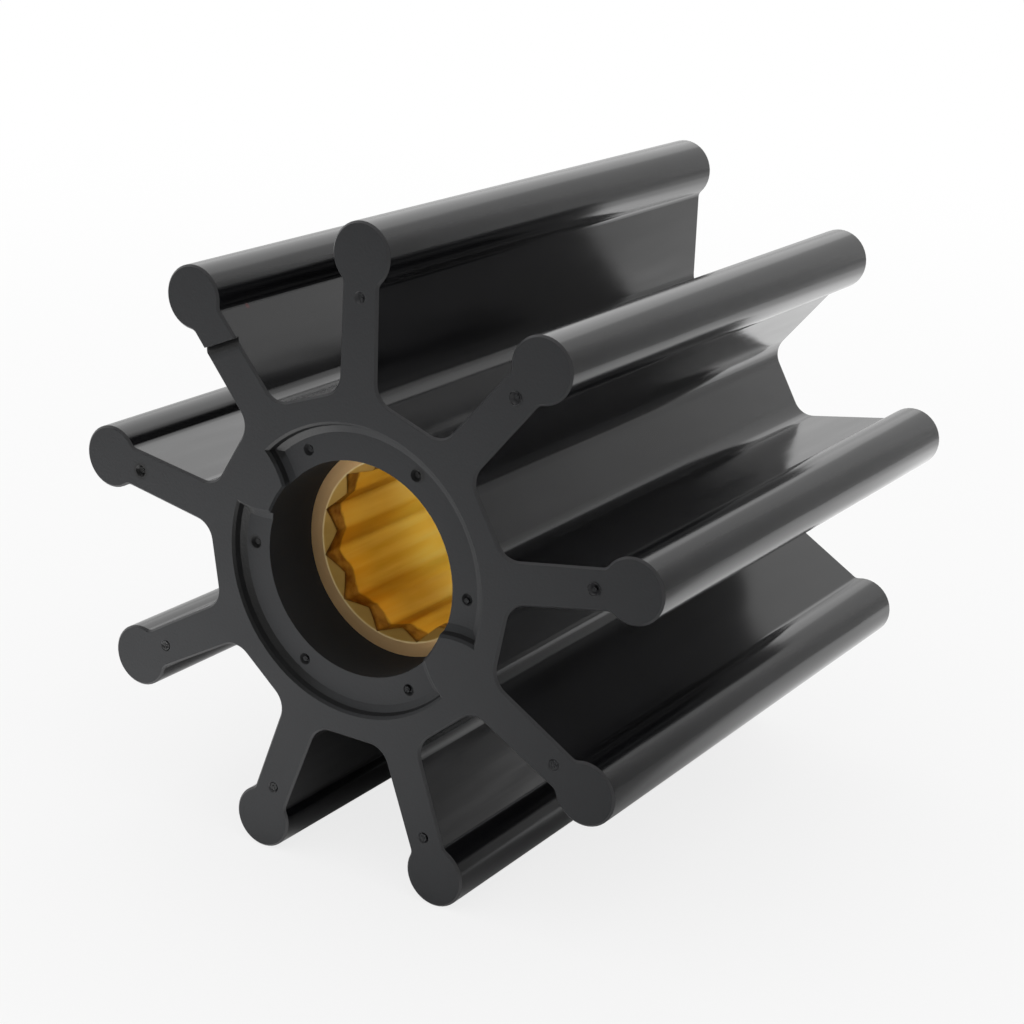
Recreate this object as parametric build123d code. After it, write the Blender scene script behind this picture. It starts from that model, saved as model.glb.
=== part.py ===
from build123d import *
import os
from math import sqrt

# Rubber pump impeller: nine flexible vanes on one rubber moulding, bonded to a brass
# bush with a twelve-point spline that slides onto the pump's drive shaft.
# The shaft axis lies along Y and the impeller rests on its two lowest vanes. The end
# face at -Y is the front. The origin is on the shaft axis, half way along the length.
# All sizes are in millimetres and all angles in degrees, turned from +X towards +Z.

# The brass bush and its spline
spline_points = 12
spline_root_diameter = 26.1
spline_crest_diameter = 23.3
spline_edge_radius = 0.25
first_root_angle = 15.0
bush_wall = 3.95

# The rubber moulding seen from its end, from the bush outwards
hub_wall = 7.1
tip_diameter = 95.2
impeller_length = 87.0
vane_count = 9
first_vane_angle = 90.0
bulb_diameter = 9.0
vane_neck_thickness = 5.6
vane_root_thickness = 6.0
neck_fillet = 1.2
root_fillet = 3.2
face_edge_chamfer = 0.3

# The counterbore ahead of the bush, at both ends. It leaves bare a ring of the bush's
# end face outside the spline; the rubber laps over the rest.
counterbore_depth = 10.8
bare_bush_ring = 2.05

# The shallow recess round the counterbore, at both ends. Its wall is steep, then flattens
# out to the floor; both of its angles are from the shaft axis. Two bridges cross it.
recess_width = 5.25
recess_depth = 1.4
recess_steep_depth = 1.0
recess_steep_angle = 21.0
recess_foot_angle = 68.0
bridge_angle = 150.0
bridge_count = 2
bridge_outer_width = 9.7
bridge_inner_width = 4.7

# Dimples in the front face where the rubber was fed in: a ring of them in the recess,
# and one on each vane but the one that has a nick instead
gate_mark_diameter = 1.7
gate_mark_floor_diameter = 0.9
gate_mark_depth = 0.45
recess_mark_count = 6
recess_mark_from_counterbore = 2.35
vane_mark_from_bulb_centre = 5.5

# The nick across one vane's front face: a flat step on its outer side, and on its
# inner side a hollow that runs out into the face
nick_vane = 1
nick_from_bulb_centre = 7.2
nick_slant = -16.0
nick_width = 2.1
nick_depth = 0.8

# Worked out from the sizes above
bush_diameter = spline_root_diameter + 2 * bush_wall
hub_across_flats = bush_diameter + 2 * hub_wall
counterbore_diameter = spline_root_diameter + 2 * bare_bush_ring
recess_diameter = counterbore_diameter + 2 * recess_width
bush_length = impeller_length - 2 * counterbore_depth
# The lead-in at each end of the spline slopes at 45 degrees
lead_in_depth = (spline_root_diameter - spline_crest_diameter) / 2
bulb_centre_radius = (tip_diameter - bulb_diameter) / 2
vane_pitch = 360.0 / vane_count
front_y = -impeller_length / 2


def vane_angle(index):
    """Angle of a vane's centre line; vane 0 points straight up."""
    return first_vane_angle + index * vane_pitch


def turned(shape, angle):
    """A shape drawn pointing along local +X, turned about the shaft axis."""
    return Rot(0, 0, angle) * shape


def along_shaft(outline, start, depth):
    """A solid over an outline, from y = start towards +Y."""
    return extrude(Plane.XZ.offset(-start) * outline, amount=-depth)


def vane_outline():
    """One vane along local +X: a web that thins outwards and a round sealing bulb."""
    root = vane_root_thickness / 2
    neck = vane_neck_thickness / 2
    hub = hub_across_flats / 2
    web = make_face(Polyline((hub, -root), (bulb_centre_radius, -neck), (bulb_centre_radius, neck),
                             (hub, root), close=True))
    bulb = Pos(bulb_centre_radius, 0) * Circle(bulb_diameter / 2)
    return web + bulb


def moulding_outline():
    """The end view: a hub with a flat between each two vanes, and fillets at root and neck."""
    outline = RegularPolygon(hub_across_flats / 2, vane_count, major_radius=False,
                             rotation=first_vane_angle)
    for index in range(vane_count):
        outline += turned(vane_outline(), vane_angle(index))
    halfway = (hub_across_flats / 2 + bulb_centre_radius) / 2
    roots = [v for v in outline.vertices() if v.center().length < halfway]
    outline = fillet(roots, root_fillet)
    corner_reach = bulb_centre_radius - bulb_diameter / 4
    necks = [v for v in outline.vertices() if halfway < v.center().length < corner_reach]
    return fillet(necks, neck_fillet)


def bridge_outline():
    """One bridge across the recess along local +X: radial sides that curve in at the bore."""
    outer = recess_diameter / 2
    half_width = bridge_outer_width / 2
    corner = Vector(sqrt(outer**2 - half_width**2), half_width)
    bore_corner = Vector(sqrt((counterbore_diameter / 2) ** 2 - (bridge_inner_width / 2) ** 2),
                         bridge_inner_width / 2)
    side = TangentArc(corner, bore_corner, tangent=-corner)
    heading = side % 1
    tip = bore_corner - heading * (bore_corner.Y / heading.Y)
    past_rim = corner * (1 + recess_depth / outer)
    half = make_face([Line((past_rim.X, 0), past_rim), Line(past_rim, corner), side,
                      Line(bore_corner, tip), Line(tip, (past_rim.X, 0))])
    return half + mirror(half, about=Plane.XZ)


def recess_cutter():
    """The front recess, with the bore inside it: a steep wall that flattens to the floor."""
    outline = Circle(recess_diameter / 2)
    for index in range(bridge_count):
        outline -= turned(bridge_outline(), bridge_angle + index * 360.0 / bridge_count)
    rim = Plane.XZ.offset(-front_y) * outline
    steep = extrude(rim, amount=-recess_steep_depth, taper=recess_steep_angle)
    foot_rim = steep.faces().sort_by(Axis.Y)[-1]
    foot = extrude(foot_rim, amount=recess_depth - recess_steep_depth, taper=recess_foot_angle)
    return steep + foot


def gate_mark(radius, angle, floor_y):
    """One small dimple at a distance from the shaft axis: wide at its mouth, flat at its floor."""
    dimple = Cone(gate_mark_diameter / 2, gate_mark_floor_diameter / 2, gate_mark_depth,
                  align=(Align.CENTER, Align.CENTER, Align.MIN))
    on_face = Pos(radius, floor_y, 0) * Rot(-90, 0, 0) * dimple
    return Rot(0, -angle, 0) * on_face


def gate_marks():
    """A ring of dimples in the recess, and one on each vane but the nicked one."""
    ring_radius = counterbore_diameter / 2 + recess_mark_from_counterbore
    marks = []
    for index in range(recess_mark_count):
        marks.append(gate_mark(ring_radius, index * 360.0 / recess_mark_count,
                               front_y + recess_depth))
    for index in range(vane_count):
        if index != nick_vane:
            marks.append(gate_mark(bulb_centre_radius - vane_mark_from_bulb_centre,
                                   vane_angle(index), front_y))
    return marks


def nick():
    """The slanted nick: seen from its end, a step and an arc that leaves the face smoothly."""
    hollow = TangentArc((-nick_width, 0), (0, nick_depth), tangent=(1, 0))
    step = Line((0, nick_depth), (0, 0))
    mouth = Line((0, 0), (-nick_width, 0))
    cutter = extrude(make_face([hollow, step, mouth]), amount=vane_root_thickness, both=True)
    place = Pos(bulb_centre_radius - nick_from_bulb_centre, front_y, 0)
    return Rot(0, -vane_angle(nick_vane), 0) * place * Rot(0, -nick_slant, 0) * cutter


def impeller_body():
    """The rubber moulding, open for the bush and the shaft."""
    body = along_shaft(moulding_outline(), front_y, impeller_length)
    body -= along_shaft(Circle(counterbore_diameter / 2), front_y, impeller_length)
    body -= along_shaft(Circle(bush_diameter / 2), front_y + counterbore_depth, bush_length)
    recess = recess_cutter()
    body -= recess
    body -= mirror(recess, about=Plane.XZ)
    front_and_rear = body.faces().sort_by(Axis.Y)[0].edges() + body.faces().sort_by(Axis.Y)[-1].edges()
    body = chamfer(front_and_rear, face_edge_chamfer)
    body -= gate_marks()
    body -= nick()
    return body


def spline_outline():
    """The spline's hole: straight flanks between pointed roots and crests, barely rounded."""
    half_step = 180.0 / spline_points
    points = []
    for index in range(spline_points):
        angle = first_root_angle + 2 * index * half_step
        points.append(Vector(spline_root_diameter / 2, 0).rotate(Axis.Z, angle))
        points.append(Vector(spline_crest_diameter / 2, 0).rotate(Axis.Z, angle + half_step))
    hole = make_face(Polyline(*points, close=True))
    return fillet(hole.vertices(), spline_edge_radius)


def splined_bush():
    """The brass bush: a plain tube with a splined bore and a sloped lead-in at each end."""
    bush_start = -bush_length / 2
    bush = along_shaft(Circle(bush_diameter / 2), bush_start, bush_length)
    bush -= along_shaft(spline_outline(), bush_start, bush_length)
    cone = Cone(spline_root_diameter / 2, spline_crest_diameter / 2, lead_in_depth,
                align=(Align.CENTER, Align.CENTER, Align.MIN))
    lead_in = Pos(0, bush_start, 0) * Rot(-90, 0, 0) * cone
    bush -= lead_in
    bush -= mirror(lead_in, about=Plane.XZ)
    return bush


os.makedirs("parts", exist_ok=True)
export_step(impeller_body(), "parts/impeller_body.step")
export_step(splined_bush(), "parts/splined_bush.step")
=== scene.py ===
import math

import bmesh
import bpy
from mathutils import Matrix, Vector


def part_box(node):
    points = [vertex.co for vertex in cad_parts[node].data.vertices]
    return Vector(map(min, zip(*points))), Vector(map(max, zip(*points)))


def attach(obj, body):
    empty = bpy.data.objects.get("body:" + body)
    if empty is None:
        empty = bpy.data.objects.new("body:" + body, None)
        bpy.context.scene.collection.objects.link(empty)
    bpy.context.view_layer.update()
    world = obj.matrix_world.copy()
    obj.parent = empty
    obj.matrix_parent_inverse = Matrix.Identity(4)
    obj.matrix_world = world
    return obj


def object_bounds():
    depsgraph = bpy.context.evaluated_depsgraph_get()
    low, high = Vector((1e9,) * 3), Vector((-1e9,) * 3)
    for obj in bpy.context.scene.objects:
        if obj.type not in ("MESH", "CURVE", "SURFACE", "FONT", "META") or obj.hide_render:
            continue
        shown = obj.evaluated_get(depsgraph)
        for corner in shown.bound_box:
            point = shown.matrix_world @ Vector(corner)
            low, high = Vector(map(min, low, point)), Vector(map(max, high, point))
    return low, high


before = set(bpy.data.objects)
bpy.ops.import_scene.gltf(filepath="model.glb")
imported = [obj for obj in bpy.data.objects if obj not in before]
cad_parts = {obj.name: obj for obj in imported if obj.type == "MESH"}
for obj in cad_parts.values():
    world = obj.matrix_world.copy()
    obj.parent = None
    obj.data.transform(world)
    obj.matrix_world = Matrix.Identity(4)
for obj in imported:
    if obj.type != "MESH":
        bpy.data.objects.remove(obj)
cad_low, cad_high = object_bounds()

# Every size is in metres. The shaft axis lies along Y, the front end face at low Y,
# and angles are in degrees, turned from +X towards +Z.
MM = 0.001
FRONT_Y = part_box("impeller_body")[0].y
BUSH_FRONT_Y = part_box("splined_bush")[0].y
FLOOR_Z = cad_low.z

# The camera: where it stands, what it looks at, how far it is tilted to one side, and its
# lens in millimetres
CAMERA_PLACE = Vector((0.16959, -0.27931, 0.10765))
CAMERA_AIM = Vector((-0.00120, -0.00176, -0.00261))
CAMERA_ROLL = math.radians(2.75)
CAMERA_LENS = 81.38

# Each pair below is where a finish starts to change, and where it has changed.
# On the rubber, by the distance from the shaft axis
BORE_WALL_ENDS = (15.2 * MM, 15.6 * MM)
RECESS_FOOT_STARTS = (18.0 * MM, 18.6 * MM)
HUB_SIDES_START = (21.5 * MM, 22.5 * MM)
# On the rubber, by x: left of the first the recess's foot is glossier and carries painted shade
SHADED_FOOT_ENDS = (-12.0 * MM, 0.0)
# In the bush's bore, as shares of the way from its middle to its mouth: where the painted light
# and shade along the bore change
HALF_WAY_STARTS = (0.28, 0.62)
NEAR_MOUTH_STARTS = (0.68, 0.88)
# In the bush's bore, by the depth below its end face: where the painted shade at the mouth ends,
# and how ragged its edge is
MOUTH_SHADE_ENDS = (3.0 * MM, 3.7 * MM)
MOUTH_SHADE_RAGGEDNESS = 1.6 * MM
# The painted highlight, a bright line between the bush's end face and its lead-in, by the distance
# to either side
SPLINE_ROOT_RADIUS = 13.05 * MM
EDGE_HIGHLIGHT_ENDS = (0.05 * MM, 0.16 * MM)

# Colours of the rubber. A pair of stops is for a pattern: each is a place and a colour.
RUBBER_SIDES = ((0.3, (0.003, 0.003, 0.0035)), (0.7, (0.006, 0.006, 0.007)))
RUBBER_FACES = ((0.3, (0.0115, 0.0125, 0.0145)), (0.7, (0.0165, 0.0175, 0.0195)))
# Painted highlight: a lighter line along the chamfered edges of the end faces
RUBBER_EDGE_HIGHLIGHT = (0.036, 0.036, 0.038)
# Painted shade: the dark colour of the recess's sloped foot on the left
RUBBER_FOOT_SHADE = (0.003, 0.003, 0.003)
# Painted shade in the deepest dimples
RUBBER_PIT_SHADE = (0.001, 0.001, 0.001)
RED = (0.10, 0.005, 0.008)

# Colours of the brass. Along the bore they are painted lighter deep in and darker half way, as
# painted light and shade.
BRASS_DEEP_IN = ((0.35, (1.00, 0.79, 0.23)), (0.65, (1.00, 0.92, 0.42)))
BRASS_HALF_WAY = ((0.35, (0.66, 0.41, 0.07)), (0.65, (0.82, 0.58, 0.17)))
BRASS_NEAR_MOUTH = ((0.35, (0.92, 0.56, 0.10)), (0.65, (0.96, 0.69, 0.20)))
# Painted shade: the dark brown near the bore's mouth
BRASS_MOUTH_SHADE = ((0.35, (0.22, 0.10, 0.03)), (0.65, (0.46, 0.27, 0.09)))
BRASS_SLOPE = (0.90, 0.59, 0.17)
BRASS_FACE = ((0.3, (0.86, 0.57, 0.28)), (0.7, (0.94, 0.64, 0.32)))
# Painted highlight along the edge of the bush's lead-in
BRASS_EDGE_HIGHLIGHT = (1.00, 0.80, 0.42)

# The room's brightness as light; to the camera and in reflections it is 1
ROOM_LIGHT = 0.8

# The grey screen on the dim side of the room. Its angles are seen from above, turned from
# +X towards +Y. It is dark up to one angle, and turns pale from there to its last.
SCREEN_RADIUS = 0.34
SCREEN_HEIGHT = 0.75
SCREEN_FIRST = -150.0
SCREEN_LAST = 62.0
SCREEN_DARK_BELOW = 36.0
SCREEN_DARK = (0.28, 0.28, 0.28)
SCREEN_PALE = (0.95, 0.95, 0.95)

# The floor. To the camera it is white, but for this share of its own light, which keeps the
# shadow: all of it up to the first distance from the middle, and none beyond the second.
FLOOR_SIZE = 8.0
SHADOW_SHARE = 0.2
SHADOW_REACH = (0.12, 0.6)

# The spots where the floor glows in reflections, as painted light, on the floor's own coordinates:
# a place, how far from it the glow is full and where it has gone, and its share
GLOW_STRENGTH = 2.75
REAR_GLOWS = (((0.06, 0.17, 0.0), 0.0, 0.07, 0.35),
              ((0.06, 0.17, 0.0), 0.12, 0.19, 0.25),
              ((0.20, 0.40, 0.0), 0.10, 0.38, 0.12))
FRONT_GLOW = ((-0.08, -0.115, 0.0), 0.03, 0.15, 0.85)
# The front one stops short of the impeller, by y
FRONT_GLOW_ENDS = (-0.050, -0.035)

# The part of the floor that is painted dim in reflections, as painted shade: right of a slanted
# line, given by its x at y = 0, and by how much x grows with y
DIM_SHADE_STRENGTH = 0.35
DIM_SHADE_SHARE = 0.9
DIM_SHADE_STARTS = (0.055, 0.068)
DIM_SHADE_SLANT = 0.586

# The lamps: a name, a place, a width and a height, and a power in watts
LAMPS = (("left_rear_softbox", (-0.27, 0.46, 0.45), (0.6, 0.6), 0.65),
         ("left_front_softbox", (-0.34, -0.36, 0.06), (0.2, 0.2), 0.10))

# Faces of a new piece that meet at less than this look smooth
SMOOTH_BELOW = math.radians(50)

# The dimples where the rubber was fed in, in the recess and on the vanes
RECESS_FLOOR_Y = FRONT_Y + 1.4 * MM
RECESS_MARK_RADIUS = 17.45 * MM
VANE_MARK_RADIUS = 37.6 * MM
MARK_MOUTH_RADIUS = 0.85 * MM
MARK_DEPTH = 0.45 * MM

# The stub of rubber that stands in each dimple, by the dimple's angle: its width and its
# height, and how far it stands off centre towards +X and +Z, all in millimetres
RECESS_STUBS = {
    0: (0.80, 0.36, -0.22, -0.25),
    60: (0.55, 0.16, 0.10, 0.15),
    120: (0.60, 0.14, 0.00, 0.10),
    180: (0.75, 0.34, 0.30, 0.10),
    240: (0.80, 0.42, 0.00, 0.05),
    300: (0.90, 0.44, -0.30, 0.00),
}
VANE_STUBS = {
    90: (0.60, 0.34, 0.28, -0.22),
    170: (0.45, 0.30, 0.30, 0.20),
    210: (1.50, 0.45, -0.08, 0.00),
    250: (1.15, 0.44, 0.04, 0.08),
    290: (1.25, 0.45, -0.14, 0.00),
    330: (1.40, 0.45, 0.06, 0.04),
    10: (0.75, 0.44, 0.00, 0.00),
    50: (0.70, 0.36, 0.22, 0.22),
}
# The dimples with a ragged lip round them, and the lip's thickness and unevenness
LIPPED_VANES = (10, 50)
LIP_RADIUS = 0.08 * MM
LIP_UNEVENNESS = 0.05 * MM

# Painted shade on the end face: dark spots at the dimples that are torn deepest, each a place and
# a reach
PIT_SHADE_SPOTS = (((9.10 * MM, -42.0 * MM, 15.30 * MM), 1.3 * MM),
              ((-17.60 * MM, -42.0 * MM, 0.00 * MM), 1.3 * MM),
              ((-37.00 * MM, -43.4 * MM, 6.50 * MM), 1.5 * MM))
# A red speck on the side of one vane: its place, and how far out it is full and has gone
RED_SPECK = ((-22.86 * MM, -37.71 * MM, 31.67 * MM), 0.2 * MM, 0.55 * MM)


def deselect():
    """Leaves nothing selected, so that the next operator acts only on what it adds."""
    bpy.ops.object.select_all(action="DESELECT")


class Value:
    """A shader socket that takes part in plain sums: each sum adds a Math node."""

    def __init__(self, nodes, socket):
        self.nodes = nodes
        self.socket = socket

    def __add__(self, other):
        return self.nodes.maths("ADD", self, other)

    def __radd__(self, other):
        return self.nodes.maths("ADD", other, self)

    def __sub__(self, other):
        return self.nodes.maths("SUBTRACT", self, other)

    def __rsub__(self, other):
        return self.nodes.maths("SUBTRACT", other, self)

    def __mul__(self, other):
        return self.nodes.maths("MULTIPLY", self, other)

    def __rmul__(self, other):
        return self.nodes.maths("MULTIPLY", other, self)

    def __pow__(self, other):
        return self.nodes.maths("POWER", self, other)

    def __abs__(self):
        return self.nodes.maths("ABSOLUTE", self)

    def or_more(self, other):
        return self.nodes.maths("MAXIMUM", self, other)

    def between(self, low, high):
        """0 at or below low, 1 at or above high, and smooth between them."""
        return self.nodes.add("ShaderNodeMapRange", {"interpolation_type": "SMOOTHSTEP"},
                              Value=self, From_Min=low, From_Max=high)

    def within(self, low, start, end, high):
        """1 from start to end, 0 at or beyond low and high, and smooth between them."""
        return self.between(low, start) * (1.0 - self.between(end, high))

    def output(self, name):
        """Another output of the node that this value comes from."""
        return Value(self.nodes, self.socket.node.outputs[name])


class Nodes:
    """Adds nodes to the tree of a material or of the world."""

    def __init__(self, tree):
        self.tree = tree

    def add(self, kind, settings=None, *in_order, **named):
        """One node: its settings first, then its sockets' values or links, by order or by name."""
        made = self.tree.nodes.new(kind)
        for name, setting in (settings or {}).items():
            if name == "stops":
                fill_ramp(made.color_ramp, setting)
            else:
                setattr(made, name, setting)
        for socket, value in zip(made.inputs, in_order):
            self.feed(socket, value)
        for name, value in named.items():
            self.feed(find_input(made, name), value)
        return Value(self, next(socket for socket in made.outputs if socket.enabled))

    def maths(self, operation, *numbers):
        return self.add("ShaderNodeMath", {"operation": operation}, *numbers)

    def feed(self, socket, value):
        """Links a value to a socket, or sets the number or colour there."""
        if isinstance(value, Value):
            self.tree.links.new(value.socket, socket)
        else:
            socket.default_value = value


def fill_ramp(ramp, stops):
    """Gives a colour ramp its stops, each a place and a colour."""
    while len(ramp.elements) > 1:
        ramp.elements.remove(ramp.elements[0])
    for index, (place, colour) in enumerate(stops):
        element = ramp.elements[0] if index == 0 else ramp.elements.new(place)
        element.position = place
        element.color = (*colour, 1.0)


def find_input(node, name):
    """A node's socket by its name, where an underscore stands for a space."""
    wanted = name.replace("_", " ")
    return next(socket for socket in node.inputs if socket.name == wanted and socket.enabled)


class Finish(Nodes):
    """A new material with its shader, and the coordinates that its patterns read."""

    def __init__(self, title, **surface):
        self.material = bpy.data.materials.new(title)
        self.material.use_nodes = True
        super().__init__(self.material.node_tree)
        self.shader = next(node for node in self.tree.nodes if node.type == "BSDF_PRINCIPLED")
        self.put(**surface)
        places = self.add("ShaderNodeTexCoord")
        self.place = places.output("Object")
        split = self.add("ShaderNodeSeparateXYZ", Vector=self.place)
        self.x, self.y, self.z = (split.output(axis) for axis in "XYZ")
        facing = self.add("ShaderNodeSeparateXYZ", Vector=places.output("Normal"))
        self.facing_along = abs(facing.output("Y"))
        self.radius = (self.x * self.x + self.z * self.z) ** 0.5

    def put(self, **surface):
        """Sets or links the shader's own sockets."""
        for name, value in surface.items():
            self.feed(find_input(self.shader, name), value)

    def stretched(self, x, y, z):
        """Object coordinates with each axis multiplied."""
        return self.add("ShaderNodeMapping", Vector=self.place, Scale=(x, y, z))

    def near(self, place, inner, outer):
        """1 within the inner distance of a place, 0 beyond the outer one."""
        away = self.add("ShaderNodeVectorMath", {"operation": "DISTANCE"}, self.place, place)
        return 1.0 - away.between(inner, outer)

    def noise(self, where, scale, detail):
        return self.add("ShaderNodeTexNoise", None, Vector=where, Scale=scale, Detail=detail)

    def colours(self, amount, *stops):
        return self.add("ShaderNodeValToRGB", {"stops": stops}, amount)

    def mixed(self, amount, first, second):
        """The first colour where amount is 0, the second where it is 1."""
        first, second = ((*c, 1.0) if isinstance(c, tuple) else c for c in (first, second))
        return self.add("ShaderNodeMix", {"data_type": "RGBA"}, Factor=amount, A=first, B=second)

    def eased(self, edge_radius):
        """The surface's normal with its sharp edges rounded off."""
        return self.add("ShaderNodeBevel", {"samples": 4}, Radius=edge_radius)

    def bumped(self, height, depth, normal):
        """Height in 0 to 1 over a depth in metres."""
        self.put(Normal=self.add("ShaderNodeBump", None, Height=height, Distance=depth,
                                 Strength=1.0, Normal=normal))


def rubber_finish():
    """Black moulded rubber: matt end faces, and glossy sides that are wavy along the shaft.

    The edges of the end faces are painted with a lighter line, a painted highlight, and on the
    left the sloped foot of the recess is glossier than the face round it and has painted shade.
    """
    rubber = Finish("moulded_rubber", IOR=1.52, Specular_IOR_Level=0.5)
    bore = 1.0 - rubber.radius.between(*BORE_WALL_ENDS)
    inside = 1.0 - rubber.radius.between(*HUB_SIDES_START)
    end_face = rubber.facing_along.between(0.55, 0.9)
    matt = end_face.or_more(inside)
    # Painted highlight on the chamfered edges of the end faces
    painted_edge_highlight = rubber.facing_along.within(0.50, 0.62, 0.76, 0.86) * (1.0 - inside)
    foot = rubber.facing_along.within(0.72, 0.85, 0.93, 0.985)
    foot = foot * rubber.radius.between(*RECESS_FOOT_STARTS)
    # Painted shade: on the left the recess's foot is painted darker, and it is also glossier
    shaded_glossy_foot = foot * (1.0 - rubber.x.between(*SHADED_FOOT_ENDS))

    mottle = rubber.noise(rubber.place, 90.0, 4.0)
    grain = rubber.noise(rubber.place, 2600.0, 2.0)
    waves = rubber.noise(rubber.stretched(1.0, 0.18, 1.0), 110.0, 2.0)
    lines = rubber.noise(rubber.stretched(1.0, 0.01, 1.0), 1500.0, 2.0)
    gloss = rubber.noise(rubber.stretched(1.0, 0.3, 1.0), 160.0, 3.0)

    sides = rubber.colours(mottle, *RUBBER_SIDES)
    faces = rubber.colours(mottle, *RUBBER_FACES)
    colour = rubber.mixed(end_face.or_more(bore), sides, faces)
    colour = rubber.mixed(painted_edge_highlight, colour, RUBBER_EDGE_HIGHLIGHT)
    colour = rubber.mixed(shaded_glossy_foot, colour, RUBBER_FOOT_SHADE)
    # Painted shade: dark spots in the deepest dimples
    for place, reach in PIT_SHADE_SPOTS:
        colour = rubber.mixed(rubber.near(place, 0.6 * reach, reach), colour, RUBBER_PIT_SHADE)
    colour = rubber.mixed(0.7 * rubber.near(*RED_SPECK), colour, RED)

    side_roughness = 0.12 + 0.10 * gloss
    matt_roughness = 0.60 + 0.12 * mottle + 0.20 * bore * (1.0 - end_face) - 0.30 * shaded_glossy_foot
    rubber.put(Base_Color=colour,
               Roughness=side_roughness * (1.0 - matt) + matt_roughness * matt)
    side_height = 0.9 * waves + 0.015 * lines
    rubber.bumped(side_height * (1.0 - matt) + 0.12 * grain * matt, 0.25 * MM,
                  rubber.eased(0.12 * MM))
    return rubber.material


def brass_finish():
    """Brass with a turned end face, a sloped lead-in, and a broached bore with painted shade at
    its mouth.

    A thin painted highlight, a bright line, runs along the slope's outer edge, stronger here and
    weaker there.
    """
    brass = Finish("machined_brass")
    end_face = brass.facing_along.between(0.8, 0.95)
    sloped = brass.facing_along.between(0.3, 0.6)

    streaks = brass.noise(brass.stretched(1.0, 0.02, 1.0), 900.0, 3.0)
    bands = brass.noise(brass.stretched(1.0, 0.08, 1.0), 420.0, 3.0)
    tone = brass.noise(brass.place, 120.0, 3.0)
    blotches = brass.noise(brass.place, 500.0, 4.0)
    around = brass.add("ShaderNodeCombineXYZ", None, brass.radius, 0.0, 0.0)
    turning = brass.noise(around, 5000.0, 2.0)

    mouth = -BUSH_FRONT_Y
    from_middle = abs(brass.y)
    ragged = from_middle + MOUTH_SHADE_RAGGEDNESS * (blotches - 0.5)
    # Painted shade near the bore's mouth, with a ragged edge
    painted_mouth_shade = ragged.between(mouth - MOUTH_SHADE_ENDS[1], mouth - MOUTH_SHADE_ENDS[0]) * (1.0 - sloped)
    # Painted highlight: a bright line along the lead-in's outer edge
    off_edge = abs(brass.radius - SPLINE_ROOT_RADIUS).between(*EDGE_HIGHLIGHT_ENDS)
    painted_edge_glint = (1.0 - off_edge) * sloped * (0.4 + 0.8 * blotches)

    # Painted light and shade along the bore: lighter deep in, darker half way
    colour = brass.colours(bands, *BRASS_DEEP_IN)
    for (start, end), stops in ((HALF_WAY_STARTS, BRASS_HALF_WAY),
                                (NEAR_MOUTH_STARTS, BRASS_NEAR_MOUTH)):
        reached = from_middle.between(start * mouth, end * mouth)
        colour = brass.mixed(reached, colour, brass.colours(bands, *stops))
    colour = brass.mixed(painted_mouth_shade, colour, brass.colours(blotches, *BRASS_MOUTH_SHADE))
    colour = brass.mixed(sloped, colour, BRASS_SLOPE)
    colour = brass.mixed(end_face, colour, brass.colours(tone, *BRASS_FACE))
    colour = brass.mixed(painted_edge_glint, colour, BRASS_EDGE_HIGHLIGHT)
    brass.put(Base_Color=colour,
              Metallic=1.0 - 0.22 * end_face - 0.30 * painted_edge_glint,
              Roughness=0.24 + 0.20 * streaks + 0.28 * sloped)
    normal = brass.add("ShaderNodeMix", {"data_type": "VECTOR"}, Factor=sloped,
                       A=brass.eased(1.3 * MM), B=brass.eased(0.3 * MM))
    brass.bumped(streaks * (1.0 - sloped) + 0.6 * turning * sloped, 0.04 * MM, normal)
    return brass.material


def dress_cad_nodes(rubber):
    """The moulding and the bush keep their meshes and get their finishes."""
    for node, finish in (("impeller_body", rubber), ("splined_bush", brass_finish())):
        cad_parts[node].material_slots[0].material = finish


def select_faces(piece, wanted):
    """Selects the faces of a mesh in edit mode whose own normal passes a test, and no others."""
    bpy.ops.mesh.select_all(action="DESELECT")
    shape = bmesh.from_edit_mesh(piece.data)
    for face in shape.faces:
        if wanted(face.normal):
            face.select_set(True)
    bmesh.update_edit_mesh(piece.data)


def finish_piece(piece, name, material):
    """Puts a new piece's place into its mesh, and fixes it to the moulding."""
    bpy.ops.object.transform_apply(location=True, rotation=True, scale=True)
    bpy.ops.object.shade_smooth_by_angle(angle=SMOOTH_BELOW)
    piece.name = name
    piece.data.name = name
    piece.data.materials.append(material)
    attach(piece, "root")


def torn_stub(name, foot, width, height, seed, material):
    """A stub of rubber on a dimple's floor, with a ragged top where it tore off."""
    deselect()
    bpy.ops.mesh.primitive_cylinder_add(vertices=9, radius=width / 2, depth=height,
                                        location=foot - Vector((0, height / 2, 0)),
                                        rotation=(math.pi / 2, 0, 0))
    piece = bpy.context.object
    bpy.ops.object.mode_set(mode="EDIT")
    select_faces(piece, lambda normal: normal.z > 0.9)
    bpy.ops.mesh.inset(thickness=0.22 * width, depth=-0.08 * width)
    bpy.ops.mesh.inset(thickness=0.10 * width, depth=0.07 * width)
    bpy.ops.mesh.select_all(action="SELECT")
    bpy.ops.mesh.subdivide(number_cuts=1)
    bpy.ops.transform.vertex_random(offset=0.10 * width, uniform=1.0, seed=seed)
    bpy.ops.object.mode_set(mode="OBJECT")
    round_off = piece.modifiers.new("round_off", "SUBSURF")
    round_off.levels = round_off.render_levels = 1
    bpy.ops.object.modifier_apply(modifier=round_off.name)
    finish_piece(piece, name, material)


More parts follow.
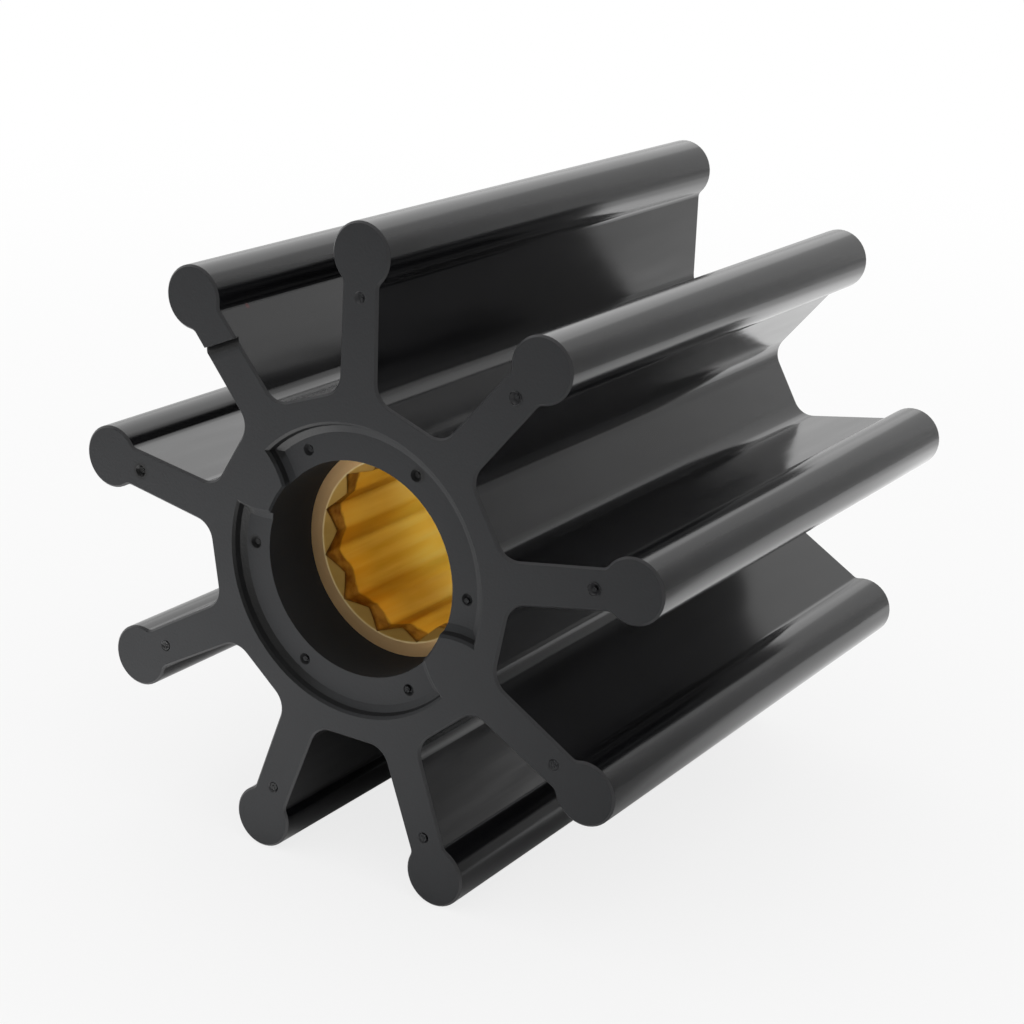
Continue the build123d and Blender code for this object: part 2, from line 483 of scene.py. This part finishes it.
def ragged_lip(name, place, seed, material):
    """A thin torn lip that stands round a dimple's mouth, uneven in height and width."""
    deselect()
    bpy.ops.mesh.primitive_torus_add(major_segments=26, minor_segments=6,
                                     major_radius=MARK_MOUTH_RADIUS + 0.06 * MM,
                                     minor_radius=LIP_RADIUS, location=place,
                                     rotation=(math.pi / 2, 0, 0))
    piece = bpy.context.object
    bpy.ops.object.mode_set(mode="EDIT")
    bpy.ops.mesh.select_all(action="SELECT")
    bpy.ops.transform.vertex_random(offset=LIP_UNEVENNESS, uniform=1.0, seed=seed)
    bpy.ops.object.mode_set(mode="OBJECT")
    finish_piece(piece, name, material)


def ring_place(radius, angle, y):
    """A place on an end face, by its distance from the shaft axis and its angle round it."""
    turn = math.radians(angle)
    return Vector((radius * math.cos(turn), y, radius * math.sin(turn)))


def gate_stubs(material):
    """What is left in the dimples of the front face where the rubber was fed in."""
    rings = (("recess", RECESS_STUBS, RECESS_MARK_RADIUS, RECESS_FLOOR_Y),
             ("vane", VANE_STUBS, VANE_MARK_RADIUS, FRONT_Y))
    for ring, stubs, radius, face_y in rings:
        for angle, (width, height, shift_x, shift_z) in stubs.items():
            centre = ring_place(radius, angle, face_y + MARK_DEPTH)
            foot = centre + Vector((shift_x, 0, shift_z)) * MM
            torn_stub(f"{ring}_stub_{angle}", foot, width * MM, height * MM, angle, material)
    for angle in LIPPED_VANES:
        place = ring_place(VANE_MARK_RADIUS, angle, FRONT_Y)
        ragged_lip(f"vane_lip_{angle}", place, angle, material)


def light_paths(nodes):
    """Two values, 1 or 0: seen by the camera, and seen in a reflection or through glass."""
    path = nodes.add("ShaderNodeLightPath")
    mirrored = path.output("Is Glossy Ray").or_more(path.output("Is Transmission Ray"))
    return path.output("Is Camera Ray"), mirrored


def floor():
    """A plain pale floor under the impeller, out to the horizon, that keeps a soft shadow.

    To the camera it is lifted to white, but for the shadow. In reflections it has painted light,
    a glow behind and at the front left as on a lit table, and painted shade, dim on the right.
    """
    deselect()
    bpy.ops.mesh.primitive_plane_add(size=FLOOR_SIZE, location=(0.0, 0.0, FLOOR_Z))
    ground = bpy.context.object
    ground.name = "floor"
    pale = Finish("pale_floor", Base_Color=(0.90, 0.90, 0.90, 1.0), Roughness=0.9,
                  Specular_IOR_Level=0.2)
    seen, mirrored = light_paths(pale)
    whiteness = seen * (1.0 - SHADOW_SHARE * pale.near((0.0, 0.0, 0.0), *SHADOW_REACH))
    # Painted light: glowing spots on the floor, seen only in reflections
    glow = sum(share * pale.near(place, full, gone) for place, full, gone, share in REAR_GLOWS)
    place, full, gone, share = FRONT_GLOW
    short_of_impeller = 1.0 - pale.y.between(*FRONT_GLOW_ENDS)
    glow = glow + share * (pale.near(place, full, gone) * short_of_impeller)
    # Painted shade: the floor is dim in reflections on the right
    on_dim_shade_side = (pale.x - DIM_SHADE_SLANT * pale.y).between(*DIM_SHADE_STARTS)

    light = Value(pale, pale.shader.outputs[0])
    for amount, strength in ((whiteness, 1.0), (glow * mirrored, GLOW_STRENGTH),
                             (DIM_SHADE_SHARE * on_dim_shade_side * mirrored, DIM_SHADE_STRENGTH)):
        shining = pale.add("ShaderNodeEmission", None, Strength=strength)
        light = pale.add("ShaderNodeMixShader", None, amount, light, shining)
    output = next(node for node in pale.tree.nodes if node.type == "OUTPUT_MATERIAL")
    pale.feed(output.inputs["Surface"], light)
    ground.data.materials.append(pale.material)


def surroundings():
    """A white room: full white to the camera and in reflections, softer as light."""
    world = bpy.data.worlds.new("studio")
    bpy.context.scene.world = world
    world.use_nodes = True
    room = Nodes(world.node_tree)
    background = world.node_tree.nodes["Background"]
    background.inputs["Color"].default_value = (1.0, 1.0, 1.0, 1.0)
    seen, mirrored = light_paths(room)
    room.feed(background.inputs["Strength"],
              ROOM_LIGHT + (1.0 - ROOM_LIGHT) * seen.or_more(mirrored))


def seen_from_above(direction):
    """A direction's angle in degrees, turned from +X towards +Y."""
    return math.degrees(math.atan2(direction.y, direction.x))


def dark_side():
    """A tall grey screen round the front and the right, where the room is dim.

    Only reflections see it. It gives the glossy rubber and the brass their darker sides.
    """
    deselect()
    bpy.ops.mesh.primitive_cylinder_add(vertices=64, radius=SCREEN_RADIUS, depth=SCREEN_HEIGHT,
                                        end_fill_type="NOTHING",
                                        location=(0, 0, FLOOR_Z + SCREEN_HEIGHT / 2))
    screen = bpy.context.object
    screen.name = "dark_side"
    bpy.ops.object.mode_set(mode="EDIT")
    select_faces(screen, lambda normal: not SCREEN_FIRST < seen_from_above(normal) < SCREEN_LAST)
    bpy.ops.mesh.delete(type="FACE")
    bpy.ops.object.mode_set(mode="OBJECT")
    paint = Finish("grey_screen", Roughness=1.0, Specular_IOR_Level=0.0)
    turn = paint.maths("ARCTAN2", paint.y, paint.x)
    pale_end = turn.between(math.radians(SCREEN_DARK_BELOW), math.radians(SCREEN_LAST))
    paint.put(Base_Color=paint.mixed(pale_end, SCREEN_DARK, SCREEN_PALE))
    screen.data.materials.append(paint.material)
    screen.visible_camera = False
    screen.visible_diffuse = False
    screen.visible_shadow = False


def lamp(name, place, size, power):
    """A soft lamp that shines at the impeller and isn't seen itself."""
    data = bpy.data.lights.new(name, "AREA")
    data.shape = "RECTANGLE"
    data.size, data.size_y = size
    data.energy = power
    thing = bpy.data.objects.new(name, data)
    bpy.context.scene.collection.objects.link(thing)
    thing.location = place
    thing.rotation_euler = (-Vector(place)).to_track_quat("-Z", "Y").to_euler()
    thing.visible_camera = False


def camera():
    """The camera of the photograph."""
    data = bpy.data.cameras.new("camera")
    data.lens = CAMERA_LENS
    data.clip_start = 0.01
    thing = bpy.data.objects.new("camera", data)
    bpy.context.scene.collection.objects.link(thing)
    turned = (CAMERA_AIM - CAMERA_PLACE).to_track_quat("-Z", "Y").to_matrix().to_4x4()
    upright = Matrix.Translation(CAMERA_PLACE) @ turned
    thing.matrix_world = upright @ Matrix.Rotation(CAMERA_ROLL, 4, "Z")
    bpy.context.scene.camera = thing


moulded_rubber = rubber_finish()
dress_cad_nodes(moulded_rubber)
gate_stubs(moulded_rubber)
floor()
surroundings()
for name, place, size, power in LAMPS:
    lamp(name, place, size, power)
dark_side()
camera()
bpy.context.scene.view_settings.view_transform = "Standard"
